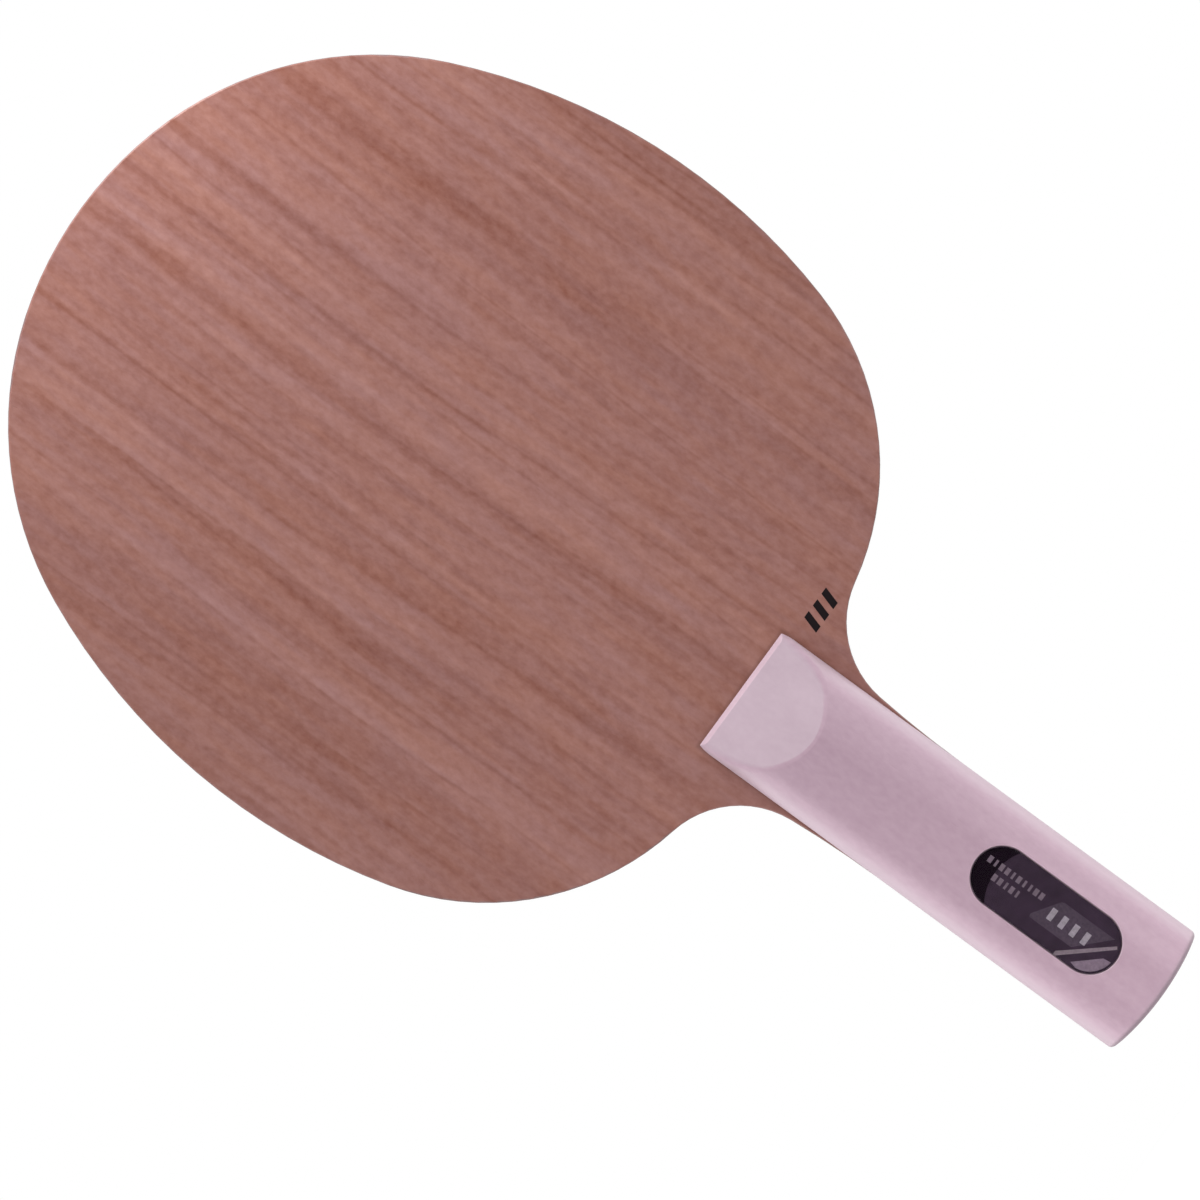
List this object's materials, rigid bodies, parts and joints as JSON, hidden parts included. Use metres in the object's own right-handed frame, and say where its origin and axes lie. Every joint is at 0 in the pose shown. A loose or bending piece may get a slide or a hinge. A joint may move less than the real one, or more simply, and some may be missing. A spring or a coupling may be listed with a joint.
{
  "type": "table tennis blade",
  "caption": "Bare laminated wooden table tennis paddle: oval blade, straight arched handle with sanded thumb facets, and a dark round-ended badge in the handle.",
  "frame": {"origin": "middle of the butt end, halfway through the blade's thickness", "axes": "+Z from the butt to the blade's tip, +Y towards the back face, +X to the right when looking at the front face"},
  "size_m": [0.15, 0.0228, 0.257],
  "materials": {
    "face_veneer": "open-grained pinkish brown veneer, sealed, satin",
    "ply_edge": "sanded ply edge",
    "core_wood": "sanded light core wood edge",
    "handle_wood": "fine-grained pale wood, sanded, bare",
    "adhesive": "white foam tape",
    "badge_print": "dark printed foil",
    "badge_lens": "clear cast resin"
  },
  "bodies": {
    "root": {"front_face_veneer": "face_veneer", "front_second_ply": "ply_edge", "front_third_ply": "ply_edge", "blade_core": "core_wood", "back_third_ply": "ply_edge", "back_second_ply": "ply_edge", "back_face_veneer": "face_veneer", "front_handle_scale": "handle_wood", "back_handle_scale": "handle_wood", "badge_adhesive_pad": "adhesive", "badge_foil": "badge_print", "badge_lens": "badge_lens"}
  },
  "joints": []
}
